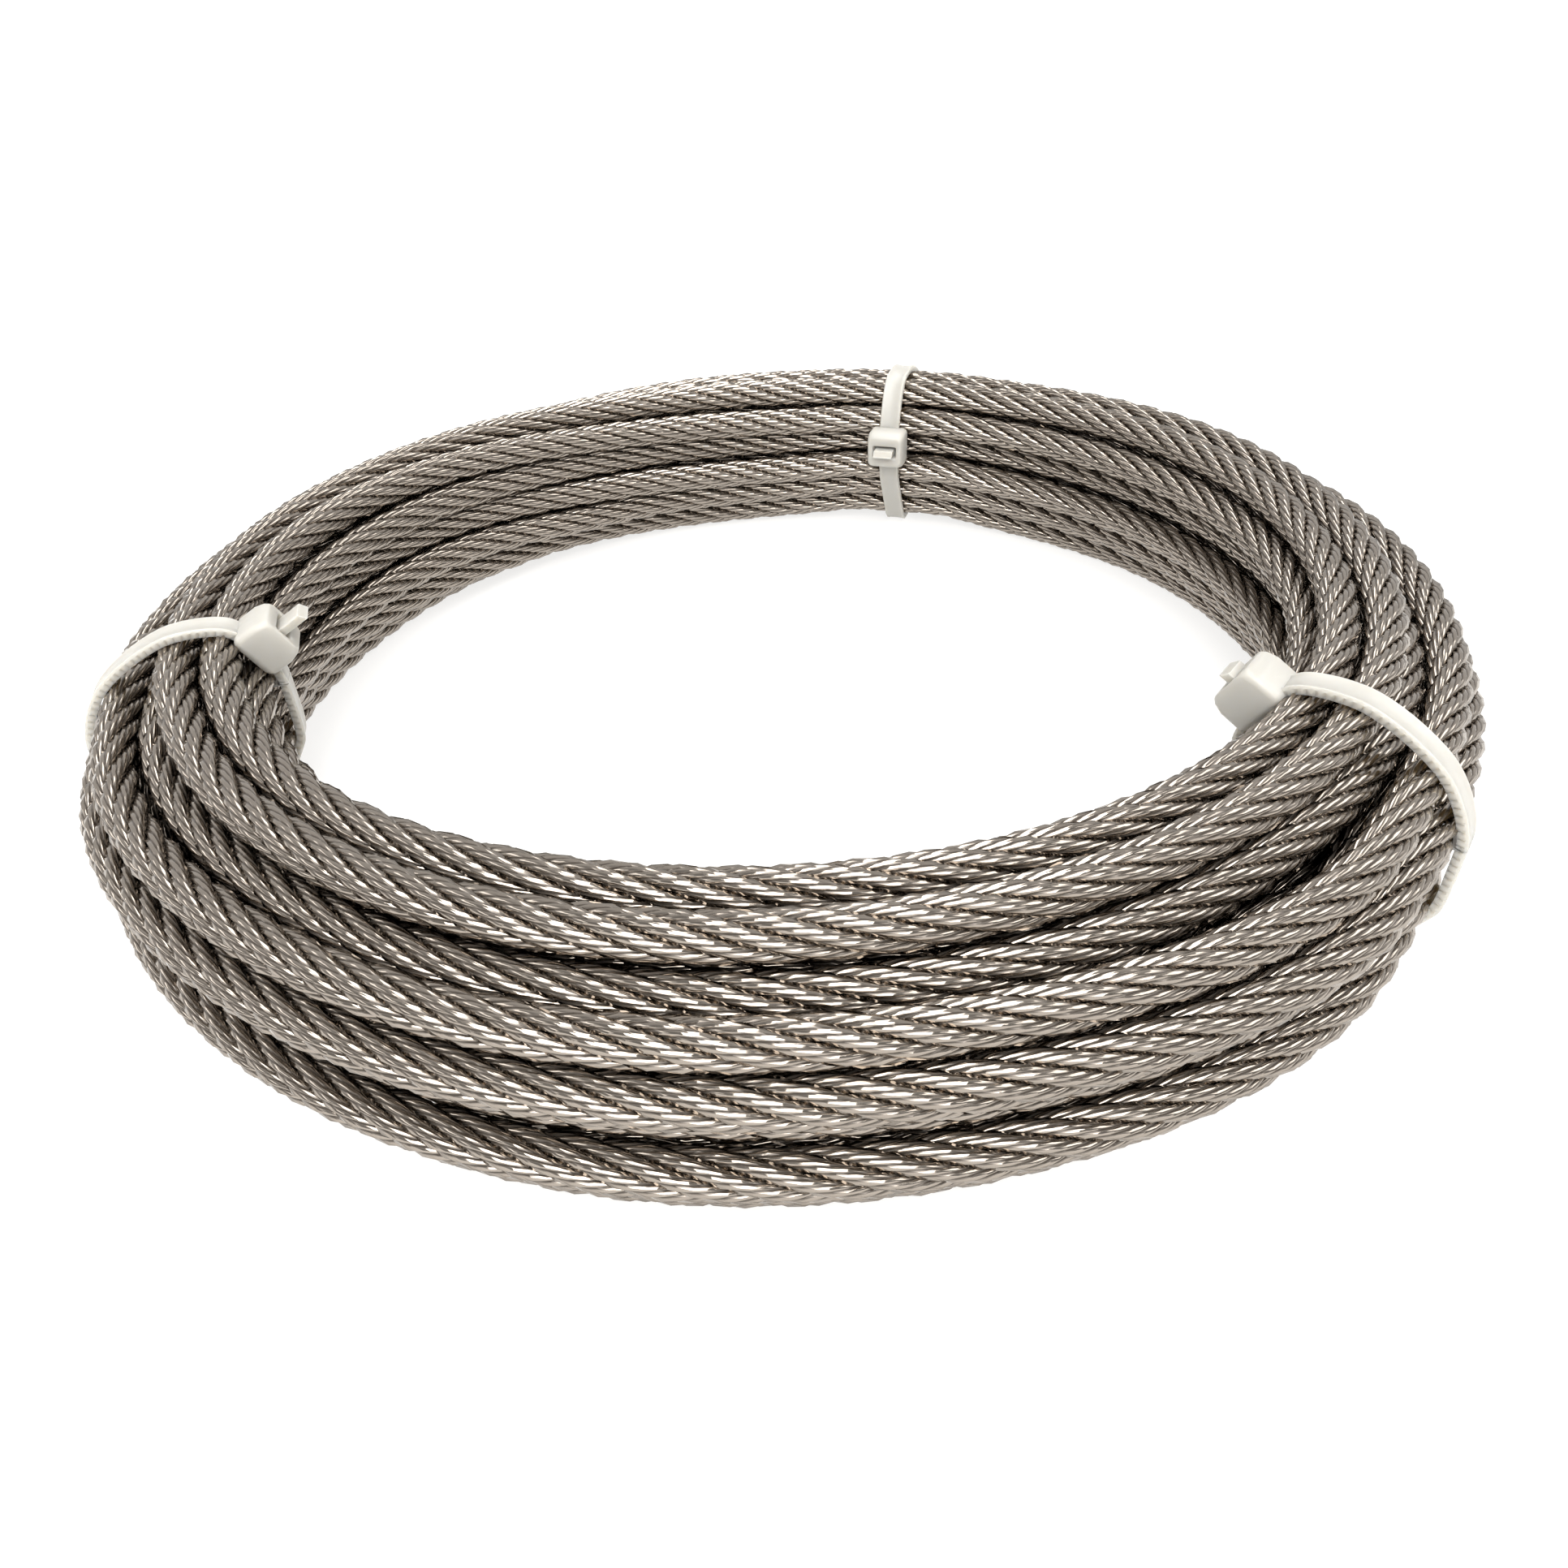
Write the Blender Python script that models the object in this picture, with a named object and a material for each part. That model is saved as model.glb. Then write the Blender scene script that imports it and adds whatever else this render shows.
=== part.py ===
"""Coil of wire rope lying flat on the floor, held by three cable ties.

Metres, +Z up. The origin is on the floor, on the axis of the coil.
Azimuths are turned about +Z from +X. Angles in a cut through the bundle are
turned from outwards, over the top, to inwards.
"""
import math

import bmesh
import bpy
from mathutils import Matrix, Vector

# Rope and coil
ROPE_DIAMETER = 0.0050
COIL_RADIUS = 0.0757
OVAL = 0.0012
OVAL_AZIMUTH = math.radians(20.0)

# Turns in a cut through the bundle: how many lie side by side in each row,
# from the floor up, and how many half pitches each row is set outwards
ROW_TURNS = (3, 4, 4, 4, 4, 2)
ROW_SHIFTS = (1, 1, 0, 1, 0, -1)
SIDE_GAP = 0.00015
ROW_GAP = 0.00015

# Form of a turn's ridge on the outline: a turn is drawn with flat sides,
# one of them down, and shows as far aside as the spread
RIDGE_SIDES = 8
RIDGE_SPREAD = math.radians(40.0)
LEAST_SPREAD = math.radians(23.0)
VALLEY_HEIGHT = 0.0015
COIL_STEPS = 72

# Cable ties
TIE_AZIMUTHS = {"left": 197.5, "right": 322.5, "back": 72.5}
HEAD_ANGLES = {"left": 134.0, "right": 134.0, "back": 165.0}
STUB_LENGTHS = {"left": 0.0030, "right": 0.0010, "back": 0.0012}
STRAP_WIDTH = 0.0036
STRAP_THICKNESS = 0.0011
HEAD_WIDTH = 0.0066
HEAD_LENGTH = 0.0064
HEAD_HEIGHT = 0.0048
HEAD_CHAMFER = 0.0007
LEAST_HEAD_SEAT = 0.0045
CLEARANCE = 0.0003

# How the ties draw the bundle together
PINCH = 0.0004
PINCH_FLAT = math.radians(7.0)
PINCH_FADE = math.radians(12.0)

ROPE_RADIUS = ROPE_DIAMETER / 2
TURN_PITCH = ROPE_DIAMETER + SIDE_GAP
ROW_PITCH = TURN_PITCH * math.sqrt(3) / 2 + ROW_GAP
NEIGHBOUR_REACH = 1.2 * TURN_PITCH
TIE_LIFT = STRAP_THICKNESS + 2 * CLEARANCE


def clear_scene():
    for obj in list(bpy.data.objects):
        bpy.data.objects.remove(obj, do_unlink=True)


def make_material(name, colour, roughness, metallic):
    material = bpy.data.materials.new(name)
    material.use_nodes = True
    shader = material.node_tree.nodes["Principled BSDF"]
    shader.inputs["Base Color"].default_value = (*colour, 1.0)
    shader.inputs["Roughness"].default_value = roughness
    shader.inputs["Metallic"].default_value = metallic
    material.diffuse_color = (*colour, 1.0)
    return material


def stainless_steel():
    return make_material("stainless_steel", (0.36, 0.34, 0.31), 0.35, 1.0)


def natural_nylon():
    return make_material("natural_nylon", (0.80, 0.79, 0.75), 0.40, 0.0)


def turn_rows():
    """Centres of the turns in a cut, row by row, as (outwards, up)."""
    rows = []
    for row, (turns, shift) in enumerate(zip(ROW_TURNS, ROW_SHIFTS)):
        first = (shift - (turns - 1)) * TURN_PITCH / 2
        height = ROPE_RADIUS + row * ROW_PITCH
        rows.append([Vector((first + turn * TURN_PITCH, height)) for turn in range(turns)])
    return rows


def turn_between(start, end):
    """Angle from one direction of the cut to another, anticlockwise."""
    return math.atan2(start.cross(end), start.dot(end))


def outer_turns():
    """Centres of the turns that show, once round the cut, anticlockwise from the floor."""
    turns = [turn for row in turn_rows() for turn in row]
    walk = turns[:1]
    back = Vector((-1, 0))
    while len(walk) == 1 or walk[-1] != walk[0]:
        here = walk[-1]
        beside = [turn for turn in turns if turn != here and (turn - here).length < NEIGHBOUR_REACH]
        following = min(beside, key=lambda turn: turn_between(-back, turn - here))
        walk.append(following)
        back = here - following
    return walk[:-1]


def outward(start, end):
    """Unit normal that points out of an outline that runs anticlockwise."""
    along = (end - start).normalized()
    return Vector((along.y, -along.x))


def ridge_points(previous, centre, following):
    """Corners of one turn that show outside, and the valley after it."""
    before = outward(previous, centre)
    after = outward(centre, following)
    spread = max(turn_between(before, after) / 2 + RIDGE_SPREAD, LEAST_SPREAD)
    reach = ROPE_RADIUS / math.cos(math.pi / RIDGE_SIDES)
    shown = []
    for side in range(RIDGE_SIDES):
        angle = (side + 0.5) * 2 * math.pi / RIDGE_SIDES
        corner = Vector((math.cos(angle), math.sin(angle)))
        aside = turn_between((before + after).normalized(), corner)
        if abs(aside) <= spread:
            shown.append((aside, centre + corner * reach))
    corners = [corner for _, corner in sorted(shown, key=lambda item: item[0])]
    return [*corners, (centre + following) / 2 + after * VALLEY_HEIGHT]


def bundle_outline():
    """Outline of the bundle in a cut, with a ridge for each turn that shows."""
    turns = outer_turns()
    outline = []
    for index, centre in enumerate(turns):
        following = turns[(index + 1) % len(turns)]
        outline += ridge_points(turns[index - 1], centre, following)
    return outline


def bundle_extent(outline):
    """Middle of the outline, and half its width and height."""
    low = Vector((min(p.x for p in outline), min(p.y for p in outline)))
    high = Vector((max(p.x for p in outline), max(p.y for p in outline)))
    return (low + high) / 2, (high - low) / 2


def pinched(point, middle, half, share):
    """A point of the cut where the ties draw the bundle in and lift it off the floor."""
    across = middle.x + (point.x - middle.x) * (1 - share * PINCH / half.x)
    up = point.y + share * TIE_LIFT * (1 - point.y / (2 * half.y))
    return Vector((across, up))


def pinch_share(azimuth):
    """1 under a tie, fading to 0 away from it."""
    distances = []
    for degrees in TIE_AZIMUTHS.values():
        turned = azimuth - math.radians(degrees)
        distances.append(abs(math.atan2(math.sin(turned), math.cos(turned))))
    fade = min(max((min(distances) - PINCH_FLAT) / PINCH_FADE, 0.0), 1.0)
    return (1 + math.cos(math.pi * fade)) / 2


def oval_offset(azimuth):
    """How far the coil, which was wound by hand, stands out from a true circle."""
    return OVAL * math.cos(2 * (azimuth - OVAL_AZIMUTH))


def link_mesh(name, mesh_builder, material):
    mesh = bpy.data.meshes.new(name)
    bmesh.ops.recalc_face_normals(mesh_builder, faces=mesh_builder.faces)
    mesh_builder.to_mesh(mesh)
    mesh_builder.free()
    mesh.materials.append(material)
    obj = bpy.data.objects.new(name, mesh)
    bpy.context.scene.collection.objects.link(obj)
    return obj


def rope_coil(material):
    """The wound rope as one turned ring, spun, then made oval and pinched at the ties."""
    outline = bundle_outline()
    middle, half = bundle_extent(outline)
    builder = bmesh.new()
    half_step = Matrix.Rotation(math.pi / COIL_STEPS, 3, "Z")
    corners = [builder.verts.new(half_step @ Vector((COIL_RADIUS + p.x, 0, p.y))) for p in outline]
    edges = [builder.edges.new((corners[i - 1], corners[i])) for i in range(len(corners))]
    bmesh.ops.spin(
        builder, geom=edges, cent=(0, 0, 0), axis=(0, 0, 1), dvec=(0, 0, 0),
        angle=2 * math.pi, steps=COIL_STEPS, use_merge=True,
    )
    for vert in builder.verts:
        azimuth = math.atan2(vert.co.y, vert.co.x)
        in_cut = Vector((vert.co.xy.length - COIL_RADIUS, vert.co.z))
        moved = pinched(in_cut, middle, half, pinch_share(azimuth))
        radius = COIL_RADIUS + moved.x + oval_offset(azimuth)
        vert.co = (radius * math.cos(azimuth), radius * math.sin(azimuth), moved.y)
    ring = link_mesh("rope_coil", builder, material)
    ring.data.shade_smooth()
    ring.data.set_sharp_from_angle(angle=math.radians(50))
    return ring


def convex_outline(points):
    """The tight line round a set of points, anticlockwise."""
    ordered = sorted(points, key=lambda p: (p.x, p.y))
    chains = []
    for run in (ordered, ordered[::-1]):
        chain = []
        for point in run:
            while len(chain) > 1 and (chain[-1] - chain[-2]).cross(point - chain[-1]) <= 1e-12:
                chain.pop()
            chain.append(point)
        chains += chain[:-1]
    return chains


def offset_outline(outline, distance):
    """A convex outline moved outwards by a distance, with its corners mitred."""
    moved = []
    for index, point in enumerate(outline):
        before = outward(outline[index - 1], point)
        after = outward(point, outline[(index + 1) % len(outline)])
        moved.append(point + (before + after) * distance / (1 + before.dot(after)))
    return moved


def strap_seat():
    """The line that a strap's inner face follows round the pinched bundle."""
    outline = bundle_outline()
    middle, half = bundle_extent(outline)
    hull = convex_outline([pinched(point, middle, half, 1.0) for point in outline])
    return offset_outline(hull, CLEARANCE), middle


def head_place(seat, middle, angle):
    """Middle and direction of the straight stretch of the strap nearest an angle."""
    wanted = Vector((math.cos(angle), math.sin(angle)))
    stretches = []
    for index, end in enumerate(seat):
        start = seat[index - 1]
        if (end - start).length > LEAST_HEAD_SEAT:
            stretches.append((wanted.angle((start + end) / 2 - middle), index))
    index = min(stretches)[1]
    return (seat[index - 1] + seat[index]) / 2, outward(seat[index - 1], seat[index])


def block(name, size, centre, out, material, chamfer=0.0):
    """A box whose third side stands along a direction of the cut."""
    builder = bmesh.new()
    bmesh.ops.create_cube(builder, size=1.0)
    bmesh.ops.scale(builder, vec=size, verts=builder.verts)
    if chamfer:
        bmesh.ops.bevel(
            builder, geom=builder.edges[:], offset=chamfer, offset_type="OFFSET",
            segments=1, profile=0.5, affect="EDGES",
        )
    along = Vector((-out.y, 0, out.x))
    turn = Matrix((along, (0, 1, 0), (out.x, 0, out.y))).transposed()
    bmesh.ops.rotate(builder, matrix=turn, verts=builder.verts)
    bmesh.ops.translate(builder, vec=(centre.x, 0, centre.y), verts=builder.verts)
    piece = link_mesh(name, builder, material)
    piece.hide_render = True
    piece.display_type = "WIRE"
    return piece


def strap_loop(name, seat, material):
    """The closed band of the tie, drawn round the bundle."""
    builder = bmesh.new()
    loops = []
    for line in (seat, offset_outline(seat, STRAP_THICKNESS)):
        corners = [builder.verts.new((p.x, -STRAP_WIDTH / 2, p.y)) for p in line]
        loops += [builder.edges.new((corners[i - 1], corners[i])) for i in range(len(corners))]
    side = bmesh.ops.bridge_loops(builder, edges=loops)["faces"]
    grown = bmesh.ops.extrude_face_region(builder, geom=side, use_keep_orig=True)["geom"]
    far_side = [item for item in grown if isinstance(item, bmesh.types.BMVert)]
    bmesh.ops.translate(builder, vec=(0, STRAP_WIDTH, 0), verts=far_side)
    return link_mesh(name, builder, material)


def join_with(target, piece):
    union = target.modifiers.new("join_" + piece.name, "BOOLEAN")
    union.operation = "UNION"
    union.object = piece
    piece.parent = target


def cable_tie(side, material):
    """One moulded cable tie: a strap, its head and the cut end that stands out of the head."""
    seat, middle = strap_seat()
    foot, out = head_place(seat, middle, math.radians(HEAD_ANGLES[side]))
    strap = strap_loop("cable_tie_" + side, seat, material)
    sunk = STRAP_THICKNESS / 2
    head_size = (HEAD_LENGTH, HEAD_WIDTH, HEAD_HEIGHT - sunk)
    head_centre = foot + out * (HEAD_HEIGHT + sunk) / 2
    head = block("head_" + side, head_size, head_centre, out, material, HEAD_CHAMFER)
    stub_reach = HEAD_HEIGHT / 2 + STUB_LENGTHS[side]
    stub_size = (STRAP_THICKNESS, STRAP_WIDTH, stub_reach)
    stub_centre = foot + out * (HEAD_HEIGHT / 2 + stub_reach / 2)
    stub = block("stub_" + side, stub_size, stub_centre, out, material)
    join_with(strap, head)
    join_with(strap, stub)
    azimuth = math.radians(TIE_AZIMUTHS[side])
    radius = COIL_RADIUS + oval_offset(azimuth)
    strap.rotation_euler = (0, 0, azimuth)
    strap.location = (radius * math.cos(azimuth), radius * math.sin(azimuth), 0)
    return strap


def build():
    clear_scene()
    rope_coil(stainless_steel())
    nylon = natural_nylon()
    for side in TIE_AZIMUTHS:
        cable_tie(side, nylon)


build()
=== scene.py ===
"""Looks of a coil of wire rope held by three cable ties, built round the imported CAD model.

Metres, +Z up, in the frame of the CAD model: the floor is at zero and the coil's axis is +Z.
Azimuths are turned about +Z from +X. A place in a cut through the bundle is given as
(outwards from the coil's radius, up from the floor), and an angle in it is turned from
outwards, over the top, to inwards.
"""
import math

import bmesh
import bpy
import numpy as np
from bpy.props import FloatProperty, FloatVectorProperty, PointerProperty
from mathutils import Matrix, Vector


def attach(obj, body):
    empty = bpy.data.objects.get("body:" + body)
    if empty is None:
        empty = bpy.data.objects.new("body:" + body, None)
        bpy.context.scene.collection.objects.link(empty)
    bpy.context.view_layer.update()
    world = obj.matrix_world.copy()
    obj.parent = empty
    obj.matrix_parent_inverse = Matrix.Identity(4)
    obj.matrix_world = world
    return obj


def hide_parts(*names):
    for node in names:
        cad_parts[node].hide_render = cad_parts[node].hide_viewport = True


bl_info = {
    "name": "Coil of Wire Rope",
    "version": (1, 0, 0),
    "blender": (4, 5, 0),
    "location": "View3D > Sidebar > Wire Rope",
    "description": "Lays a stranded steel rope into a tied coil round a packed CAD model",
    "category": "Object",
}

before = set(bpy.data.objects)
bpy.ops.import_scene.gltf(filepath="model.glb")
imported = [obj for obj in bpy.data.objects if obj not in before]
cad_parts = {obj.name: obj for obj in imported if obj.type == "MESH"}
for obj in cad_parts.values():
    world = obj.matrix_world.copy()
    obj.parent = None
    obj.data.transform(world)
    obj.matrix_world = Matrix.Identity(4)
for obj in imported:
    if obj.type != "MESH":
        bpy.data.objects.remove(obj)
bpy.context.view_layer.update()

# Coil, as in the CAD model's source
ROPE_DIAMETER = 0.0050
ROPE_RADIUS = ROPE_DIAMETER / 2
COIL_RADIUS = 0.0757
OVAL = 0.0012
OVAL_AZIMUTH = math.radians(20.0)
ROW_TURNS = (3, 4, 4, 4, 4, 2)
ROW_SHIFTS = (1, 1, 0, 1, 0, -1)
SIDE_GAP = 0.00015
ROW_GAP = 0.00015
TURN_PITCH = ROPE_DIAMETER + SIDE_GAP
ROW_PITCH = TURN_PITCH * math.sqrt(3) / 2 + ROW_GAP

# Cable ties, as in the CAD model's source
TIE_AZIMUTHS = {"left": 197.5, "right": 322.5, "back": 72.5}
HEAD_ANGLES = {"left": 134.0, "right": 134.0, "back": 165.0}
STUB_LENGTHS = {"left": 0.0030, "right": 0.0010, "back": 0.0012}
HEAD_WIDTH = 0.0066
HEAD_LENGTH = 0.0064
HEAD_HEIGHT = 0.0048
CLEARANCE = 0.0003
STRAP_THICKNESS = 0.0011
TIE_LIFT = STRAP_THICKNESS + 2 * CLEARANCE
PINCH = 0.0004
PINCH_FLAT = 7.0
PINCH_FADE = 12.0

# Line of a strap round the bundle: its gap to the ropes, and how it is eased into an arc,
# from no easing at the first height of its outward direction to all of it past the second
SEAT_POINTS = 720
SEAT_STEP = 0.0002
STRAP_GAP = 0.00004
EASING_ROUNDS = 14
EASING_REACH = 6
EASING_LIFT = -0.0001
EASING_HEIGHTS = (-0.4, 0.5)

# Mouldings of a strap: rims along both sides, and notches in its edges between the teeth,
# each tooth with this many rings of points
RIM_WIDTH = 0.00045
RIM_HEIGHT = 0.00010
EDGE_RADIUS = 0.00018
NOTCH_DEPTH = 0.00024
TOOTH_RINGS = 3

# Mouldings of a head, and the pocket in it that the tail comes out of
CORNER_STEPS = 4
HEAD_CORNER = 0.0009
HEAD_EDGE = 0.00022
POCKET_CORNER = 0.0004
POCKET_GAP = 0.00050
POCKET_DEPTH = 0.0012
TAIL_CORNER = 0.0002
TAIL_WIDTH = 0.0034
TAIL_ROOT = 0.0030
SNIP_SLANT = 0.5

# Order in which the rope fills the places of the cut, as (row, place in the row):
# the buried ones first, then once round the outside
BURIED_PLACES = ((4, 1), (3, 1), (3, 2), (2, 2), (2, 1), (1, 1), (1, 2))
SHOWN_PLACES = (
    (1, 3), (0, 2), (0, 1), (0, 0), (1, 0), (2, 0), (3, 0),
    (4, 0), (5, 0), (5, 1), (4, 2), (4, 3), (3, 3), (2, 3),
)
UNDERSIDE_TURN = 9

# Every turn changes its place in one stretch at the back left, in degrees of azimuth
CROSSING_AZIMUTH = 135.0
CROSSING_WIDTH = 70.0
FIRST_AZIMUTH = 160.0
LAST_AZIMUTH = 110.0

# Stations in a turn, at which the turns press each other apart, and how they settle there;
# the rope's length is measured in finer steps, in degrees
STATIONS = 72
STATION_STEP = 360.0 / STATIONS
FINE_STEP = 0.5
SETTLE_ROUNDS = 240
FOLLOW_TARGET = 0.06
FOLLOW_NEIGHBOURS = 0.20

# Wedges that open between the turns beside the ties, as (azimuth, reach to each side,
# least distance outwards of the turns that move, direction in the cut, how far they move),
# with angles in degrees; in the last one the turns are pressed in
PARTINGS = (
    (304.0, 21.0, 0.0040, -8.0, 0.0021),
    (214.0, 17.0, 0.0010, -8.0, 0.0011),
    (30.0, 22.0, -0.0030, -5.0, 0.0012),
    (345.0, 20.0, 0.0075, 0.0, -0.0005),
)

# Slack of the hand-wound turns: waves to a turn, and their seed
WAVE_HEIGHT = 0.00017
WAVE_COUNTS = (2, 3, 5)
WAVE_SEED = 7

# Lit windows of the sky, as ranges of a direction's x, y and z and a share of the key light:
# over the coil to the front, over it to the back, at its left, at its right, and low in front
LIGHT_WINDOWS = (
    (((-0.34, 0.34), (-0.90, -0.12), (0.44, 1.0)), 2.0),
    (((-0.13, 0.13), (0.03, 0.72), (0.56, 1.0)), 1.4),
    (((-0.95, -0.62), (-0.45, 0.28), (0.47, 0.60)), 0.8),
    (((0.52, 0.90), (-0.35, 0.40), (0.46, 0.76)), 1.0),
    (((-0.75, 0.75), (-1.0, -0.55), (-0.10, 0.37)), 0.38),
)
WINDOW_EDGE = 0.03
FLOOR_REACH = 60.0

# Pieces that the rope is made in, as (first turn, turn after the last), counted from 0;
# they meet under the back tie
TURN_RUNS = ((0, 7), (7, 10), (10, 13), (13, 16), (16, 19), (19, 21))

# Distances between points along the turns that show, along the others, and along the core
SHOWN_STEP = 0.00130
HIDDEN_STEP = 0.0030
CORE_STEP = 0.0050

# Strands round the core of the rope, and outer wires in a strand
STRANDS = 6
WIRES = 6

# Share of the steel's metal sheen that the dark groove colour hides in the depth of the grooves;
# that dark colour is painted shade, together with grease
GREASE_AND_SHADE_COVER = 0.6


def linear(hex_colour):
    """A colour written in sRGB hex, as linear values."""
    channels = [int(hex_colour[i:i + 2], 16) / 255 for i in (1, 3, 5)]
    return [c / 12.92 if c <= 0.04045 else ((c + 0.055) / 1.055) ** 2.4 for c in channels]


def add_node(tree, kind, settings=None, inputs=None):
    """Adds a node; an input given as a socket is linked, and any other is the input's value."""
    node = tree.nodes.new(kind)
    for name, value in (settings or {}).items():
        setattr(node, name, value)
    for key, value in (inputs or {}).items():
        if isinstance(value, bpy.types.NodeSocket):
            tree.links.new(value, node.inputs[key])
        else:
            node.inputs[key].default_value = value
    return node


def calculated(tree, operation, first, second):
    """Output of a math node on two sockets or values."""
    node = add_node(tree, "ShaderNodeMath", {"operation": operation}, {0: first, 1: second})
    return node.outputs[0]


def attribute(tree, name):
    """Output of a node that reads a number stored in the geometry."""
    node = add_node(
        tree, "GeometryNodeInputNamedAttribute", {"data_type": "FLOAT"}, {"Name": name},
    )
    return node.outputs[0]


def new_material(name):
    """A new material, with its node tree and its Principled shader."""
    material = bpy.data.materials.new(name)
    material.use_nodes = True
    return material, material.node_tree, material.node_tree.nodes["Principled BSDF"]


def set_inputs(shader, values):
    """Sets a shader's own inputs by name."""
    for name, value in values.items():
        shader.inputs[name].default_value = value


class RopeSettings(bpy.types.PropertyGroup):
    """Sizes and colours of the rope"""
    strand_lay: FloatProperty(
        name="Strand Lay", description="Length of rope in which a strand goes once round it",
        default=0.0325, min=0.01, unit="LENGTH",
    )
    wire_lay: FloatProperty(
        name="Wire Lay", description="Length of strand in which a wire goes once round it",
        default=0.0133, min=0.004, unit="LENGTH",
    )
    fullness: FloatProperty(
        name="Strand Fullness", description="Diameter of a strand in thirds of the rope's",
        default=1.07, min=0.9, max=1.2,
    )
    groove: FloatProperty(
        name="Groove Between Wires", description="Radius of the groove as a share of the strand's",
        default=0.66, min=0.5, max=1.0, subtype="FACTOR",
    )
    steel: FloatVectorProperty(
        name="Steel", description="Colour of the bright drawn wire",
        size=3, default=linear("#A59C92"), min=0, max=1, subtype="COLOR",
    )
    # Warm dark grey painted into the grooves between the wires: painted shade, together with
    # drawing grease
    grease_and_shade: FloatVectorProperty(
        name="Grease", description="Colour of the drawing grease left between the wires",
        size=3, default=linear("#4E4740"), min=0, max=1, subtype="COLOR",
    )
    roughness: FloatProperty(
        name="Roughness", description="Roughness of the wire", default=0.09, min=0, max=1,
        subtype="FACTOR",
    )


class TieSettings(bpy.types.PropertyGroup):
    """Sizes and colours of the cable ties"""
    strap_width: FloatProperty(
        name="Strap Width", description="Width of the strap", default=0.0036, min=0.002,
        unit="LENGTH",
    )
    tooth_pitch: FloatProperty(
        name="Tooth Pitch", description="Distance between the teeth of the strap",
        default=0.0009, min=0.0005, unit="LENGTH",
    )
    tooth_depth: FloatProperty(
        name="Tooth Depth", description="Depth of the grooves between the teeth",
        default=0.00030, min=0, unit="LENGTH",
    )
    nylon: FloatVectorProperty(
        name="Nylon", description="Colour of the natural nylon",
        size=3, default=linear("#B0AEA8"), min=0, max=1, subtype="COLOR",
    )


class StageSettings(bpy.types.PropertyGroup):
    """Camera, light and floor"""
    camera_place: FloatVectorProperty(
        name="Camera Place", description="Where the camera stands",
        size=3, default=(0.00355, -0.14467, 0.09240), subtype="TRANSLATION", unit="LENGTH",
    )
    lens: FloatProperty(
        name="Lens", description="Focal length", default=26.17, min=1, unit="CAMERA",
    )
    pitch: FloatProperty(
        name="Pitch", description="How far the camera looks down",
        default=math.radians(36.24), subtype="ANGLE",
    )
    yaw: FloatProperty(
        name="Yaw", description="How far the camera looks to the right of +Y",
        default=math.radians(-1.82), subtype="ANGLE",
    )
    roll: FloatProperty(
        name="Roll", description="How far the camera is tipped to the left",
        default=math.radians(-2.81), subtype="ANGLE",
    )
    key_strength: FloatProperty(
        name="Key Light", description="Strength of the lit windows round the coil",
        default=3.0, min=0,
    )
    screen_strength: FloatProperty(
        name="Screen", description="Strength of the pale screens behind the coil",
        default=0.75, min=0,
    )
    room_strength: FloatProperty(
        name="Room", description="Strength of the dim room on the camera's side",
        default=0.38, min=0,
    )
    floor: FloatVectorProperty(
        name="Floor", description="Colour of the floor",
        size=3, default=linear("#8E8D8B"), min=0, max=1, subtype="COLOR",
    )
    floor_glow: FloatProperty(
        name="Floor Glow", description="Light that comes up through the floor of the light table",
        default=0.78, min=0,
    )


def place_rows():
    """Centres of the turns in a cut, row by row from the floor up."""
    rows = []
    for row, (turns, shift) in enumerate(zip(ROW_TURNS, ROW_SHIFTS)):
        first = (shift - (turns - 1)) * TURN_PITCH / 2
        height = ROPE_RADIUS + row * ROW_PITCH
        rows.append([(first + turn * TURN_PITCH, height) for turn in range(turns)])
    return rows


def winding_places():
    """Centres of the turns in a cut, in the order in which the rope fills them."""
    rows = place_rows()
    return np.array([rows[row][place] for row, place in BURIED_PLACES + SHOWN_PLACES])


def smooth_step(share):
    """Eases a share from 0 to 1."""
    held = np.clip(share, 0.0, 1.0)
    return held * held * (3 - 2 * held)


def pinch_share(azimuths):
    """1 under a tie, fading to 0 away from it."""
    ties = np.array(list(TIE_AZIMUTHS.values()))
    aside = np.abs((azimuths[:, None] - ties + 180) % 360 - 180).min(axis=1)
    return (1 + np.cos(np.pi * np.clip((aside - PINCH_FLAT) / PINCH_FADE, 0, 1))) / 2


def pinched(places, share):
    """Places in the cut where a tie draws the bundle in and lifts it off the floor."""
    corners = np.array([place for row in place_rows() for place in row])
    low = corners.min(axis=0) - ROPE_RADIUS
    high = corners.max(axis=0) + ROPE_RADIUS
    middle = (low[0] + high[0]) / 2
    half_width = (high[0] - low[0]) / 2
    across = middle + (places[:, 0] - middle) * (1 - share * PINCH / half_width)
    up = places[:, 1] + share * TIE_LIFT * (1 - places[:, 1] / high[1])
    return np.stack((across, up), axis=1)


def station_azimuths():
    """Azimuth of every station along the rope, in degrees, growing turn by turn."""
    last = LAST_AZIMUTH + 360 * len(BURIED_PLACES + SHOWN_PLACES)
    return np.arange(FIRST_AZIMUTH, last + STATION_STEP / 2, STATION_STEP)


def wanted_places(azimuths):
    """Where the rope would lie in the cut if the turns took no room."""
    places = winding_places()
    turned = (azimuths - CROSSING_AZIMUTH) / 360
    crossing = np.round(turned).astype(int)
    share = smooth_step((turned - crossing) * 360 / CROSSING_WIDTH + 0.5)[:, None]
    before = places[np.clip(crossing - 1, 0, len(places) - 1)]
    after = places[np.clip(crossing, 0, len(places) - 1)]
    return before * (1 - share) + after * share


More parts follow.
